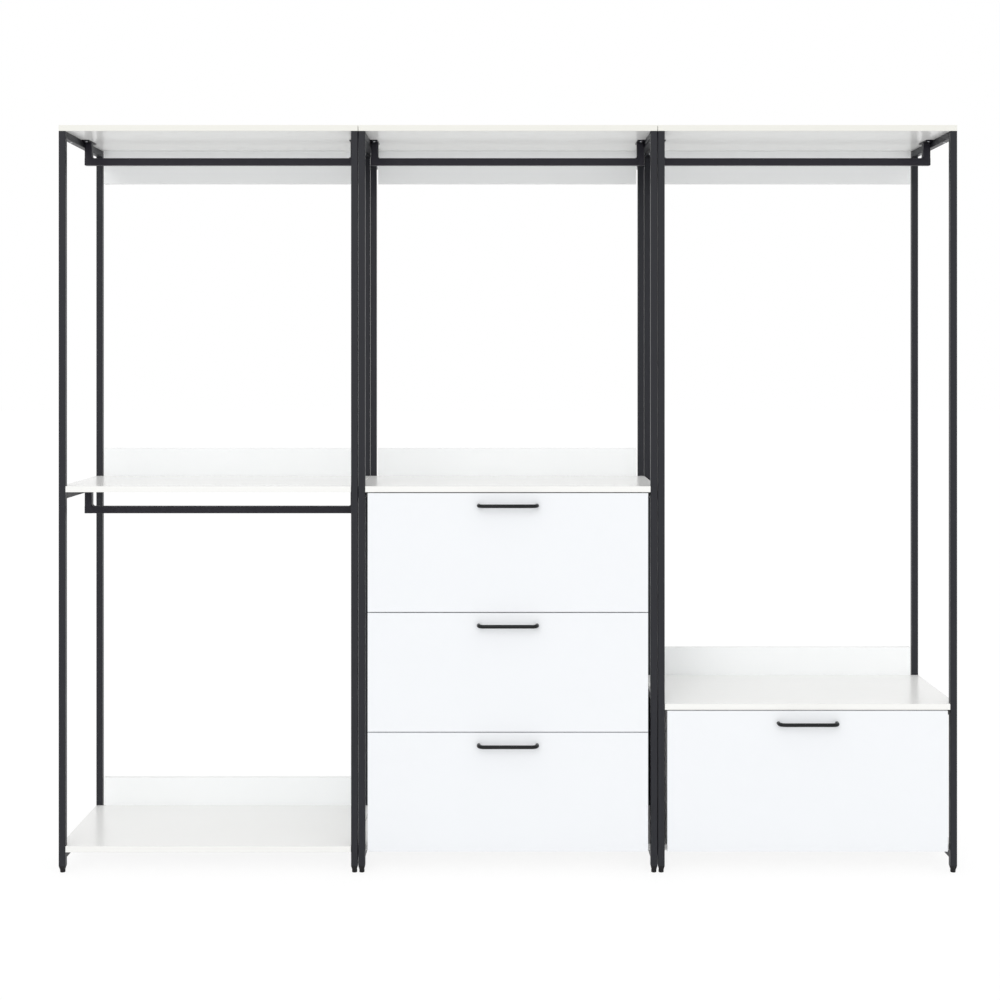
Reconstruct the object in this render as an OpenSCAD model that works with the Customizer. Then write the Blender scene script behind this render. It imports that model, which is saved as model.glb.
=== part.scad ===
// Freestanding closet system of three open units that stand side by side.
// Square steel tube side frames carry white boards, hanging rails and drawers.
// The left unit hangs clothes on two levels, the centre one has three drawers
// under its hanging space, and the right one has long hanging over a deep drawer.
// The origin is on the floor under the middle of the object. The front faces -Y.

/* [Overall size] */
// Outer width of one unit
unit_w = 800; // [640:10:1100]
// Depth from the front faces of the posts to their back faces
unit_d = 400; // [390:10:600]
// Height from the floor to the top of the top boards
unit_h = 2000; // [1700:10:2400]
// Gap between two neighbouring units
unit_gap = 1.5; // [1:0.5:8]

/* [Steel frames] */
// Outside width of the square tube
tube = 18; // [16:1:25]
// Wall of the square tube
tube_wall = 1.2; // [0.8:0.1:2]
// Rounding of the tube's long edges
tube_edge_r = 1.6; // [0.5:0.1:2]

/* [Feet] */
// Height of a foot from the floor to the end of its post
foot_h = 18; // [14:1:24]
// Diameter of the round pad on the floor
foot_pad_d = 14; // [10:0.5:16]
// Height of the round pad
foot_pad_h = 8; // [4:0.5:10]
// Length of the plug that sits inside the post
foot_plug_h = 20; // [10:1:22]
// Width of the foot's tapered collar where it meets the pad
foot_neck_w = 12; // [8:0.5:14]

/* [Boards] */
// Thickness of the top boards, shelves and back boards
board_t = 16; // [15:1:22]
// Height of the top face of the shelves at mid level
mid_shelf_top = 1034; // [950:1:1150]
// Height of the top face of the low shelf in the right unit
low_shelf_top = 452; // [400:1:560]
// Height of the top face of the lowest boards
bottom_top = 71; // [68:1:110]
// Height of a back board
back_board_h = 97; // [70:1:150]
// Gap between a back board's end and the post beside it
back_board_gap = 5; // [4:0.5:10]
// Gap round a post in a shelf's notch
notch_gap = 0.5; // [0.3:0.1:1.5]

/* [Hanging rails] */
// Outside width of the square rail
rail_w = 20; // [15:1:25]
// Distance from a top board down to the lower face of the rail under it
rail_drop = 67; // [55:1:110]
// Distance from the mid shelf down to the lower face of the rail under it
low_rail_drop = 75; // [55:1:110]
// Length of a mounting plate, front to back
plate_l = 78; // [60:1:100]
// Thickness of a mounting plate
plate_t = 3; // [2:0.5:4]
// Distance from the rail's middle to each plate screw
plate_screw_y = 28; // [18:1:30]
// Leg of the weld bead in a rail's corner
weld_leg = 4; // [2:0.5:6]

/* [Drawers] */
// Thickness of a drawer front
front_t = 16; // [12:1:20]
// Gap between a drawer front and the post beside it
front_side_gap = 7; // [4:0.5:10]
// Gap above each drawer front
front_gap = 2.5; // [2:0.5:6]
// Lift of the lowest front's edge over the underside of the bottom board
front_lift = 2; // [0:0.5:6]
// Gap between a drawer front's back and the panels behind it
front_back_gap = 2; // [1:0.5:4]
// Thickness of the folded drawer box wall
box_wall = 12; // [10:1:16]
// Distance from a front's lower edge up to the box wall
box_rise = 28; // [20:1:40]
// Distance from a front's upper edge down to the box wall
box_drop = 38; // [20:1:60]
// Thickness of the drawer floor panel
floor_t = 4; // [3:0.5:6]
// Height of the floor groove over the wall's lower edge
floor_up = 10; // [6:1:16]
// Depth of the floor groove
groove_d = 6; // [3:0.5:7]

/* [Drawer runners] */
// Length of a runner
runner_l = 350; // [250:10:350]
// Height of a runner
runner_h = 35; // [30:1:45]
// Space between the cabinet side and the drawer box
runner_w = 12.5; // [12:0.1:14]
// Thickness of a runner's steel sheet
runner_sheet = 1.2; // [1:0.1:1.5]
// Play between the members of a runner
runner_play = 0.5; // [0.3:0.1:0.8]
// Width of a runner member's lips
runner_lip = 8; // [6:0.5:8.5]
// Step back of the middle member's end from the outer one's
runner_step = 2; // [1:0.5:6]

/* [Drawer cabinets] */
// Thickness of a cabinet's back panel
cab_back_t = 3; // [2.5:0.5:5]
// Distance from a back panel's upper and lower ends to its outer screws
cab_back_screw_in = 60; // [30:1:120]

/* [Handles] */
// Length of a handle over its ends
handle_l = 166; // [120:1:220]
// Diameter of the handle's bar
handle_d = 10; // [8:0.5:12]
// Distance that a handle stands out from the drawer front
handle_reach = 28; // [26:1:40]
// Radius of the handle's corners to the middle of the bar
handle_bend_r = 14; // [10:0.5:14]
// Distance from a front's upper edge to the middle of its handle
handle_down = 33; // [20:1:60]

/* [Fasteners] */
// Diameter of a wood screw
screw_d = 3.5; // [3:0.1:4.5]
// Diameter of a screw's head
screw_head_d = 7; // [6:0.1:9]
// Height of a screw's head
screw_head_h = 2; // [1.5:0.1:2.5]
// Depth that a screw reaches into the piece that it holds
screw_bite = 12; // [8:0.5:13]
// Distance from a frame's posts to the screws in its cross tubes
tube_screw_in = 70; // [40:1:120]
// Distance from a back board's end to its outer screws
back_screw_in = 90; // [40:1:200]
// Depth that a handle's screw reaches into the handle
handle_bite = 7; // [4:0.5:8]
// Diameter of the bolts that link the units
link_d = 6; // [5:0.5:8]
// Diameter of a link bolt's head, spacer and nut
link_head_d = 11; // [10:0.5:14]
// Height of a link bolt's head and of its nut
link_head_h = 3; // [2:0.5:3.5]

/* [Hidden] */
$fn = 48;
over = 1;
screw_play = 0.2;
tip_gap = 0.5;
plug_play = 0.15;
groove_play = 0.3;
recess_play = 0.3;

steel_color = [0.22, 0.22, 0.24];
plastic_color = [0.10, 0.10, 0.11];
board_color = [0.95, 0.95, 0.93];
panel_color = [0.93, 0.93, 0.94];
front_color = [0.97, 0.98, 1.00];
zinc_color = [0.72, 0.73, 0.75];
handle_color = [0.13, 0.13, 0.14];

half_w = unit_w / 2;
inner_half = half_w - tube;
pitch = unit_w + unit_gap;
left_x = -pitch;
centre_x = 0;
right_x = pitch;

y_front = handle_reach / 2 - unit_d / 2;
y_back = y_front + unit_d;
y_mid = y_front + unit_d / 2;
y_rear_posts = y_back - tube;
post_ys = [y_front + tube / 2, y_back - tube / 2];

top_under = unit_h - board_t;
mid_under = mid_shelf_top - board_t;
low_under = low_shelf_top - board_t;
bottom_under = bottom_top - board_t;
post_l = top_under - foot_h;
bore_w = tube - 2 * tube_wall;
cross_l = unit_d - 2 * tube;
frame_dx = half_w - tube / 2;
mid_levels = [top_under, mid_under, bottom_under];
low_levels = [top_under, low_under, bottom_under];
tube_screw_ys = [y_front + tube + tube_screw_in, y_rear_posts - tube_screw_in];
link_zs = [top_under - back_board_h / 2, bottom_under - tube / 2];
link_y = y_back - tube / 2;

back_half = inner_half - back_board_gap;
back_screw_xs = [-back_half + back_screw_in, 0, back_half - back_screw_in];
back_screw_z = board_t / 2;
recess_h = screw_head_h + recess_play;
plate_x = inner_half - rail_w / 2;
rail_bore = rail_w - 2 * tube_wall;

cab_half = inner_half - front_side_gap;
cab_in = cab_half - board_t;
cab_y = y_front + front_t + front_back_gap;
cab_l = y_rear_posts - cab_y;
cab_screw_ys = [cab_y + tube_screw_in, y_rear_posts - tube_screw_in];
cab_side_mid = cab_half - board_t / 2;
// Each drawer cabinet: centre X, underside of the shelf over it
centre_cabinet = [centre_x, mid_under];
right_cabinet = [right_x, low_under];
cabinets = [centre_cabinet, right_cabinet];

fronts_z = bottom_under + front_lift;
stack_h = mid_under - front_gap - fronts_z;
centre_drawers = 3;
centre_front_h = (stack_h - (centre_drawers - 1) * front_gap) / centre_drawers;
centre_step = centre_front_h + front_gap;
deep_front_h = low_under - front_gap - fronts_z;
// Each drawer: centre X, lower edge of its front, height of its front
upper_drawer = [centre_x, fronts_z + (centre_drawers - 1) * centre_step, centre_front_h];
middle_drawer = [centre_x, fronts_z + centre_step, centre_front_h];
lower_drawer = [centre_x, fronts_z, centre_front_h];
deep_drawer = [right_x, fronts_z, deep_front_h];
drawers = [upper_drawer, middle_drawer, lower_drawer, deep_drawer];

box_half = cab_in - runner_w;
box_y = y_front + front_t;
box_l = runner_l + front_back_gap;
box_in = box_half - box_wall;
groove_h = floor_t + groove_play;
mid_member_h = runner_h - 2 * (runner_sheet + runner_play);
inner_member_h = mid_member_h - 2 * (runner_sheet + runner_play);
mid_member_x = cab_in - runner_sheet - runner_play;
handle_pitch = handle_l - handle_d;
leg_l = handle_reach - handle_d / 2 - handle_bend_r;

// Square with round corners, centred
module soft_square(side, r) {
  square([side, side - 2 * r], center = true);
  square([side - 2 * r, side], center = true);
  for (x = [-1, 1], y = [-1, 1])
    translate([x * (side / 2 - r), y * (side / 2 - r)]) circle(r = r);
}

// Box between two corners
module span(low, high) {
  translate(low) cube(high - low);
}

// Wood screw that points up, with its head's seat at the origin
module wood_screw(l) {
  translate([0, 0, -screw_head_h]) cylinder(d = screw_head_d, h = screw_head_h);
  cylinder(d = screw_d, h = l);
}

// Hole for a screw that points up from the seat at the origin
module screw_hole(l) {
  translate([0, 0, -over]) cylinder(d = screw_d + 2 * screw_play, h = l + over + tip_gap);
}

// Recess for a screw's head, open below the seat at the origin
module head_recess() {
  translate([0, 0, -recess_h - over])
    cylinder(d = screw_head_d + 2 * recess_play, h = recess_h + over);
}

// Places its children at the screws that join a unit's boards to the cross tubes
module at_tube_screws(x, under) {
  for (dx = [-frame_dx, frame_dx], y = tube_screw_ys)
    translate([x + dx, y, under - tube]) children();
}

// Places its children at the screws of a hanging rail's plates
module at_plate_screws(x, under) {
  for (dx = [-plate_x, plate_x], dy = [-plate_screw_y, plate_screw_y])
    translate([x + dx, y_mid + dy, under - plate_t]) children();
}

// Places its children, turned down, at the screws over a top back board
module at_top_back_screws(x) {
  for (dx = back_screw_xs)
    translate([x + dx, y_rear_posts + board_t / 2, unit_h - recess_h])
      rotate([180, 0, 0]) children();
}

// Places its children, turned to the front, at the screws behind a shelf's back board
module at_shelf_back_screws(x, under) {
  for (dx = back_screw_xs)
    translate([x + dx, y_rear_posts + board_t - recess_h, under + back_screw_z])
      rotate([90, 0, 0]) children();
}

// Places its children at the screws under a drawer cabinet's sides
module at_cabinet_screws(x) {
  for (dx = [-cab_side_mid, cab_side_mid], y = cab_screw_ys)
    translate([x + dx, y, bottom_under + recess_h]) children();
}

// Places its children, turned to the front, at the screws behind a cabinet's back panel
module at_cabinet_back_screws(cabinet) {
  low = bottom_top + cab_back_screw_in;
  high = cabinet[1] - cab_back_screw_in;
  for (dx = [-cab_side_mid, cab_side_mid], z = [low, (low + high) / 2, high])
    translate([cabinet[0] + dx, y_rear_posts + cab_back_t, z]) rotate([90, 0, 0]) children();
}

// Welded side frame: two posts and a cross tube under each board, with holes for the link bolts
module side_frame(x, levels) {
  color(steel_color) difference() {
    union() {
      for (y = post_ys)
        translate([x, y, foot_h]) linear_extrude(post_l) soft_square(tube, tube_edge_r);
      for (z = levels)
        translate([x, y_front + tube, z - tube / 2])
          rotate([-90, 0, 0]) linear_extrude(cross_l) soft_square(tube, tube_edge_r);
    }
    for (y = post_ys)
      translate([x, y, foot_h - over])
        linear_extrude(post_l + 2 * over) square(bore_w, center = true);
    for (z = levels)
      translate([x, post_ys[0], z - tube / 2])
        rotate([-90, 0, 0]) linear_extrude(unit_d - tube) square(bore_w, center = true);
    for (z = levels, y = tube_screw_ys)
      translate([x, y, z - tube]) screw_hole(tube + over);
    for (z = link_zs)
      translate([x - tube, link_y, z])
        rotate([0, 90, 0]) cylinder(d = link_d + 2 * screw_play, h = 2 * tube);
  }
}

// Top board that rests on the ends of the posts
module top_board(x) {
  color(board_color) difference() {
    span([x - half_w, y_front, top_under], [x + half_w, y_back, unit_h]);
    at_tube_screws(x, top_under) screw_hole(tube + screw_bite);
    at_plate_screws(x, top_under) screw_hole(plate_t + screw_bite);
    at_top_back_screws(x) {
      head_recess();
      screw_hole(board_t);
    }
  }
}

// Shelf notched round the front posts, with its back edge on the rear posts
module shelf(x, under, rail_under = false) {
  notch = tube + notch_gap;
  color(board_color) difference() {
    span([x - half_w, y_front, under], [x + half_w, y_rear_posts, under + board_t]);
    for (side = [-1, 1])
      translate([x + side * (half_w - notch / 2 + over / 2), y_front + notch / 2 - over / 2, under - over])
        linear_extrude(board_t + 2 * over) square(notch + over, center = true);
    at_tube_screws(x, under) screw_hole(tube + screw_bite);
    if (rail_under) at_plate_screws(x, under) screw_hole(plate_t + screw_bite);
    at_shelf_back_screws(x, under) screw_hole(board_t - recess_h + screw_bite);
  }
}

// Back board under a top board
module top_back_board(x) {
  color(panel_color) difference() {
    span([x - back_half, y_rear_posts, top_under - back_board_h],
         [x + back_half, y_rear_posts + board_t, top_under]);
    at_top_back_screws(x) screw_hole(board_t - recess_h + screw_bite);
  }
}

// Back board screwed to the back edge of a shelf
module shelf_back_board(x, under) {
  color(panel_color) difference() {
    span([x - back_half, y_rear_posts, under],
         [x + back_half, y_rear_posts + board_t, under + back_board_h]);
    at_shelf_back_screws(x, under) {
      head_recess();
      screw_hole(board_t);
    }
  }
}

// Hanging rail: square tube bent down from two plates under a board
module hanging_rail(x, under, drop) {
  bar_l = 2 * inner_half;
  leg_h = drop - plate_t;
  weld_l = rail_w - 2 * tube_edge_r;
  color(steel_color) difference() {
    union() {
      translate([x - inner_half, y_mid, under - drop + rail_w / 2])
        rotate([0, 90, 0]) linear_extrude(bar_l) soft_square(rail_w, tube_edge_r);
      for (side = [-1, 1]) {
        translate([x + side * plate_x, y_mid, under - drop])
          linear_extrude(leg_h) soft_square(rail_w, tube_edge_r);
        translate([x + side * plate_x, y_mid, under - plate_t / 2])
          cube([rail_w, plate_l, plate_t], center = true);
        translate([x + side * (inner_half - rail_w), y_mid + weld_l / 2, under - drop + rail_w])
          rotate([90, 0, 0]) linear_extrude(weld_l)
            polygon([[0, 0], [-side * weld_leg, 0], [0, weld_leg]]);
      }
    }
    translate([x - inner_half + tube_wall, y_mid - rail_bore / 2, under - drop + tube_wall])
      cube([bar_l - 2 * tube_wall, rail_bore, rail_bore]);
    for (side = [-1, 1])
      translate([x + side * plate_x, y_mid, under - drop + tube_wall])
        linear_extrude(drop) square(rail_bore, center = true);
    at_plate_screws(x, under) screw_hole(plate_t + over);
  }
}

// The two side panels of a drawer cabinet, from its bottom board to the shelf
module side_panels(cabinet) {
  x = cabinet[0];
  color(panel_color) difference() {
    for (side = [-1, 1])
      translate([x + side * cab_side_mid - board_t / 2, cab_y, bottom_top])
        cube([board_t, cab_l, cabinet[1] - bottom_top]);
    at_cabinet_screws(x) screw_hole(board_t - recess_h + screw_bite);
    at_cabinet_back_screws(cabinet) screw_hole(cab_back_t + screw_bite);
  }
}

// Thin back panel of a drawer cabinet, screwed to the back edges of its sides
module back_panel(cabinet) {
  x = cabinet[0];
  color(panel_color) difference() {
    span([x - cab_half, y_rear_posts, bottom_under],
         [x + cab_half, y_rear_posts + cab_back_t, cabinet[1]]);
    at_cabinet_back_screws(cabinet) screw_hole(cab_back_t + over);
  }
}

// Bottom board of a drawer cabinet, on the frames' lowest cross tubes
module cabinet_bottom(x) {
  color(board_color) difference() {
    span([x - half_w, y_front + tube, bottom_under], [x + half_w, y_rear_posts, bottom_top]);
    at_tube_screws(x, bottom_under) screw_hole(tube + screw_bite);
    at_cabinet_screws(x) {
      head_recess();
      screw_hole(board_t);
    }
  }
}

// Channel along +Y that opens to -X, with its web's back at the origin
module channel(h, l) {
  translate([0, 0, -h / 2]) difference() {
    translate([-runner_lip, 0, 0]) cube([runner_lip, l, h]);
    translate([-runner_lip - over, -over, runner_sheet])
      cube([runner_lip + over - runner_sheet, l + 2 * over, h - 2 * runner_sheet]);
  }
}

// Middle height of a drawer's runners
function runner_z(d) = d[1] + (box_rise + d[2] - box_drop) / 2;

// Places its children on the right side of a drawer and mirrored on its left side
module at_runner_sides(d) {
  for (side = [0, 1])
    translate([d[0], 0, runner_z(d)]) mirror([side, 0, 0]) children();
}

// Runner members on the drawer box
module drawer_runners(d) {
  color(zinc_color) at_runner_sides(d)
    translate([box_half, cab_y, 0]) mirror([1, 0, 0]) channel(inner_member_h, runner_l);
}

// Runner members between the cabinet's and the drawer's, which travel half as far
module mid_runners(d) {
  color(zinc_color) at_runner_sides(d)
    translate([mid_member_x, cab_y + runner_step, 0])
      channel(mid_member_h, runner_l - 2 * runner_step);
}

// Places its children at the middle of a drawer's handle, on the front's face
module at_handle(d) {
  translate([d[0], y_front, d[1] + d[2] - handle_down]) children();
}

// Drawer front with a groove for the floor and holes for its handle
module drawer_front(d) {
  color(front_color) difference() {
    span([d[0] - cab_half, y_front, d[1]], [d[0] + cab_half, box_y, d[1] + d[2]]);
    span([d[0] - box_in - groove_d, box_y - groove_d, d[1] + box_rise + floor_up],
         [d[0] + box_in + groove_d, box_y + over, d[1] + box_rise + floor_up + groove_h]);
    at_handle(d) for (side = [-1, 1])
      translate([side * handle_pitch / 2, -over, 0])
        rotate([-90, 0, 0]) cylinder(d = screw_d + 2 * screw_play, h = front_t + 2 * over);
  }
}

// Drawer box: one board folded round the two sides and the back
module drawer_box(d) {
  low = d[1] + box_rise;
  high = d[1] + d[2] - box_drop;
  back = box_y + box_l;
  color(panel_color) difference() {
    span([d[0] - box_half, box_y, low], [d[0] + box_half, back, high]);
    span([d[0] - box_in, box_y - over, low - over], [d[0] + box_in, back - box_wall, high + over]);
    span([d[0] - box_in - groove_d, box_y - over, low + floor_up],
         [d[0] + box_in + groove_d, back - box_wall + groove_d, low + floor_up + groove_h]);
  }
}

// Floor panel that slides into the grooves of the box and the front
module drawer_floor(d) {
  reach = groove_d - groove_play;
  low = d[1] + box_rise + floor_up;
  color(panel_color)
    span([d[0] - box_in - reach, box_y - reach, low],
         [d[0] + box_in + reach, box_y + box_l - box_wall + reach, low + floor_t]);
}

// Bow handle bent from round bar, with a screw hole in each end
module drawer_handle(d) {
  bar_l = handle_pitch - 2 * handle_bend_r;
  bar_y = -leg_l - handle_bend_r;
  color(handle_color) at_handle(d) difference() {
    union() {
      translate([-bar_l / 2, bar_y, 0]) rotate([0, 90, 0]) cylinder(d = handle_d, h = bar_l);
      for (side = [-1, 1]) {
        translate([side * handle_pitch / 2, 0, 0])
          rotate([90, 0, 0]) cylinder(d = handle_d, h = leg_l);
        translate([side * bar_l / 2, -leg_l, 0])
          rotate([0, 0, side > 0 ? -90 : 180])
            rotate_extrude(angle = 90) translate([handle_bend_r, 0]) circle(d = handle_d);
      }
    }
    for (side = [-1, 1])
      translate([side * handle_pitch / 2, over, 0])
        rotate([90, 0, 0]) cylinder(d = screw_d + 2 * screw_play, h = handle_bite + tip_gap + over);
  }
}

// Two screws from inside the drawer through its front into the handle
module handle_screws(d) {
  color(zinc_color) at_handle(d) for (side = [-1, 1])
    translate([side * handle_pitch / 2, front_t, 0])
      rotate([90, 0, 0]) wood_screw(front_t + handle_bite);
}

module left_unit_left_frame() { side_frame(left_x - frame_dx, mid_levels); }
module left_unit_right_frame() { side_frame(left_x + frame_dx, mid_levels); }
module centre_unit_left_frame() { side_frame(centre_x - frame_dx, mid_levels); }
module centre_unit_right_frame() { side_frame(centre_x + frame_dx, mid_levels); }
module right_unit_left_frame() { side_frame(right_x - frame_dx, low_levels); }
module right_unit_right_frame() { side_frame(right_x + frame_dx, low_levels); }

module left_top_board() { top_board(left_x); }
module centre_top_board() { top_board(centre_x); }
module right_top_board() { top_board(right_x); }

module left_mid_shelf() { shelf(left_x, mid_under, true); }
module left_bottom_shelf() { shelf(left_x, bottom_under); }
module centre_mid_shelf() { shelf(centre_x, mid_under); }
module right_low_shelf() { shelf(right_x, low_under); }

module left_top_back_board() { top_back_board(left_x); }
module left_mid_back_board() { shelf_back_board(left_x, mid_under); }
module left_bottom_back_board() { shelf_back_board(left_x, bottom_under); }
module centre_top_back_board() { top_back_board(centre_x); }
module centre_mid_back_board() { shelf_back_board(centre_x, mid_under); }
module right_top_back_board() { top_back_board(right_x); }
module right_low_back_board() { shelf_back_board(right_x, low_under); }

module left_upper_hanging_rail() { hanging_rail(left_x, top_under, rail_drop); }
module left_lower_hanging_rail() { hanging_rail(left_x, mid_under, low_rail_drop); }
module centre_hanging_rail() { hanging_rail(centre_x, top_under, rail_drop); }
module right_hanging_rail() { hanging_rail(right_x, top_under, rail_drop); }

module cabinet_sides() {
  for (cabinet = cabinets) side_panels(cabinet);
}
module cabinet_backs() {
  for (cabinet = cabinets) back_panel(cabinet);
}
module centre_cabinet_bottom() { cabinet_bottom(centre_x); }
module right_cabinet_bottom() { cabinet_bottom(right_x); }

// Runner members on the cabinet sides, one pair for each drawer
module cabinet_runners() {
  color(zinc_color) for (d = drawers) at_runner_sides(d)
    translate([cab_in, cab_y, 0]) channel(runner_h, runner_l);
}

// A foot under each post: round pad, tapered collar and a plug inside the tube
module post_feet() {
  plug_w = bore_w - 2 * plug_play;
  collar_h = foot_h - foot_pad_h;
  color(plastic_color)
    for (x = [left_x, centre_x, right_x], dx = [-frame_dx, frame_dx], y = post_ys)
      translate([x + dx, y, 0]) {
        cylinder(d = foot_pad_d, h = foot_pad_h);
        translate([0, 0, foot_pad_h])
          linear_extrude(collar_h, scale = tube / foot_neck_w) square(foot_neck_w, center = true);
        translate([0, 0, foot_h]) linear_extrude(foot_plug_h) square(plug_w, center = true);
      }
}

// Screws that join boards, cross tubes, rails, back boards and cabinets
module wood_screws() {
  color(zinc_color) {
    for (x = [left_x, centre_x], under = mid_levels)
      at_tube_screws(x, under) wood_screw(tube + screw_bite);
    for (under = low_levels) at_tube_screws(right_x, under) wood_screw(tube + screw_bite);
    for (x = [left_x, centre_x, right_x]) {
      at_plate_screws(x, top_under) wood_screw(plate_t + screw_bite);
      at_top_back_screws(x) wood_screw(board_t - recess_h + screw_bite);
    }
    at_plate_screws(left_x, mid_under) wood_screw(plate_t + screw_bite);
    for (place = [[left_x, mid_under], [left_x, bottom_under], [centre_x, mid_under], [right_x, low_under]])
      at_shelf_back_screws(place[0], place[1]) wood_screw(board_t - recess_h + screw_bite);
    for (cabinet = cabinets) {
      at_cabinet_screws(cabinet[0]) wood_screw(board_t - recess_h + screw_bite);
      at_cabinet_back_screws(cabinet) wood_screw(cab_back_t + screw_bite);
    }
  }
}

// Bolts through neighbouring rear posts, each with a spacer and a nut
module link_bolts() {
  shank_l = 2 * tube + unit_gap;
  color(zinc_color)
    for (x = [-pitch / 2, pitch / 2], z = link_zs)
      translate([x - shank_l / 2, link_y, z]) rotate([0, 90, 0]) {
        translate([0, 0, -link_head_h]) cylinder(d = link_head_d, h = link_head_h);
        cylinder(d = link_d, h = shank_l);
        translate([0, 0, tube]) cylinder(d = link_head_d, h = unit_gap);
        translate([0, 0, shank_l]) cylinder(d = link_head_d, h = link_head_h, $fn = 6);
      }
}

module upper_drawer_front() { drawer_front(upper_drawer); }
module upper_drawer_box() { drawer_box(upper_drawer); }
module upper_drawer_floor() { drawer_floor(upper_drawer); }
module upper_drawer_handle() { drawer_handle(upper_drawer); }
module upper_drawer_handle_screws() { handle_screws(upper_drawer); }
module upper_drawer_runners() { drawer_runners(upper_drawer); }
module upper_drawer_mid_runners() { mid_runners(upper_drawer); }

module middle_drawer_front() { drawer_front(middle_drawer); }
module middle_drawer_box() { drawer_box(middle_drawer); }
module middle_drawer_floor() { drawer_floor(middle_drawer); }
module middle_drawer_handle() { drawer_handle(middle_drawer); }
module middle_drawer_handle_screws() { handle_screws(middle_drawer); }
module middle_drawer_runners() { drawer_runners(middle_drawer); }
module middle_drawer_mid_runners() { mid_runners(middle_drawer); }

module lower_drawer_front() { drawer_front(lower_drawer); }
module lower_drawer_box() { drawer_box(lower_drawer); }
module lower_drawer_floor() { drawer_floor(lower_drawer); }
module lower_drawer_handle() { drawer_handle(lower_drawer); }
module lower_drawer_handle_screws() { handle_screws(lower_drawer); }
module lower_drawer_runners() { drawer_runners(lower_drawer); }
module lower_drawer_mid_runners() { mid_runners(lower_drawer); }

module deep_drawer_front() { drawer_front(deep_drawer); }
module deep_drawer_box() { drawer_box(deep_drawer); }
module deep_drawer_floor() { drawer_floor(deep_drawer); }
module deep_drawer_handle() { drawer_handle(deep_drawer); }
module deep_drawer_handle_screws() { handle_screws(deep_drawer); }
module deep_drawer_runners() { drawer_runners(deep_drawer); }
module deep_drawer_mid_runners() { mid_runners(deep_drawer); }

left_unit_left_frame();
left_unit_right_frame();
centre_unit_left_frame();
centre_unit_right_frame();
right_unit_left_frame();
right_unit_right_frame();
left_top_board();
centre_top_board();
right_top_board();
left_mid_shelf();
left_bottom_shelf();
centre_mid_shelf();
right_low_shelf();
left_top_back_board();
left_mid_back_board();
left_bottom_back_board();
centre_top_back_board();
centre_mid_back_board();
right_top_back_board();
right_low_back_board();
left_upper_hanging_rail();
left_lower_hanging_rail();
centre_hanging_rail();
right_hanging_rail();
cabinet_sides();
cabinet_backs();
centre_cabinet_bottom();
right_cabinet_bottom();
cabinet_runners();
post_feet();
wood_screws();
link_bolts();
upper_drawer_front();
upper_drawer_box();
upper_drawer_floor();
upper_drawer_handle();
upper_drawer_handle_screws();
upper_drawer_runners();
upper_drawer_mid_runners();
middle_drawer_front();
middle_drawer_box();
middle_drawer_floor();
middle_drawer_handle();
middle_drawer_handle_screws();
middle_drawer_runners();
middle_drawer_mid_runners();
lower_drawer_front();
lower_drawer_box();
lower_drawer_floor();
lower_drawer_handle();
lower_drawer_handle_screws();
lower_drawer_runners();
lower_drawer_mid_runners();
deep_drawer_front();
deep_drawer_box();
deep_drawer_floor();
deep_drawer_handle();
deep_drawer_handle_screws();
deep_drawer_runners();
deep_drawer_mid_runners();
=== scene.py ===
"""Looks of a freestanding closet system: three open units of coated steel tube with white boards.

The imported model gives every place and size, in metres: boards, drawer fronts, drawer boxes, handles,
feet and screws are modelled again over their solids with banded edges, bevels, recesses and welds.
The steel frames, rails, runners, floor panels and link bolts keep their solids and get a finish.
"""
import logging
import math
from contextlib import contextmanager
from dataclasses import dataclass, replace
from enum import Enum
from typing import Callable, ClassVar, Iterable, Iterator

import bmesh
import bpy
from mathutils import Matrix, Vector


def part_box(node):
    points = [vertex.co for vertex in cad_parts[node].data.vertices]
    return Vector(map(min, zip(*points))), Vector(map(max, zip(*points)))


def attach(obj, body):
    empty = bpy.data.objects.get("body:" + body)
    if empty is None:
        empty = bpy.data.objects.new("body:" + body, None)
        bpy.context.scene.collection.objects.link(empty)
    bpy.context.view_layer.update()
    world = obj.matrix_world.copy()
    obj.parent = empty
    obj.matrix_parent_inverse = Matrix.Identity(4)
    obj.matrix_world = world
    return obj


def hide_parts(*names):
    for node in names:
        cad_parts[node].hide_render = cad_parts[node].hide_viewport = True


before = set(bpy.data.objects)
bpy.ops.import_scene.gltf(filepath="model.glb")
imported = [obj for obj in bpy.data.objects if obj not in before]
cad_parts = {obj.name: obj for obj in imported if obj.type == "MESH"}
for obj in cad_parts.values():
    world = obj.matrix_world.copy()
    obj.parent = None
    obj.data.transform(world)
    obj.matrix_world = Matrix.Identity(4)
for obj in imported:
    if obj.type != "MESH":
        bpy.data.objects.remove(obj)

LOG = logging.getLogger("closet")
MM = 0.001
MERGE_DISTANCE = 0.001 * MM
ORDER_DIGITS = 5
LEVEL_DIGITS = 6
SHARP_ANGLE = math.radians(40)
FACING = 0.9  # Least part of a unit normal along an axis for a face that looks along it.
ROOT_BODY = "standing_frame"

Colour = tuple[float, float, float]
WHITE = (1.0, 1.0, 1.0, 1.0)
Piece = bpy.types.Object
Socket = bpy.types.NodeSocket
Node = bpy.types.Node
NodeTree = bpy.types.NodeTree
Edge = bmesh.types.BMEdge


class Slot(Enum):
    """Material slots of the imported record."""

    FRAME_STEEL = "black_steel"
    RAIL_STEEL = "rail_steel"
    PLASTIC = "black_plastic"
    SHELF = "shelf_laminate"
    PANEL = "panel_laminate"
    FRONT = "front_laminate"
    BOX = "box_foil"
    FLOOR = "floor_panel"
    ZINC = "zinc_steel"
    HANDLE = "black_handle"


class Axis(Enum):
    """Axes of the shared frame."""

    X = 0
    Y = 1
    Z = 2

    def reach(self, length: float) -> Vector:
        """Vector of this length along the axis, or against it when the length is negative."""
        return Vector([length if axis is self else 0.0 for axis in Axis])


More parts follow.
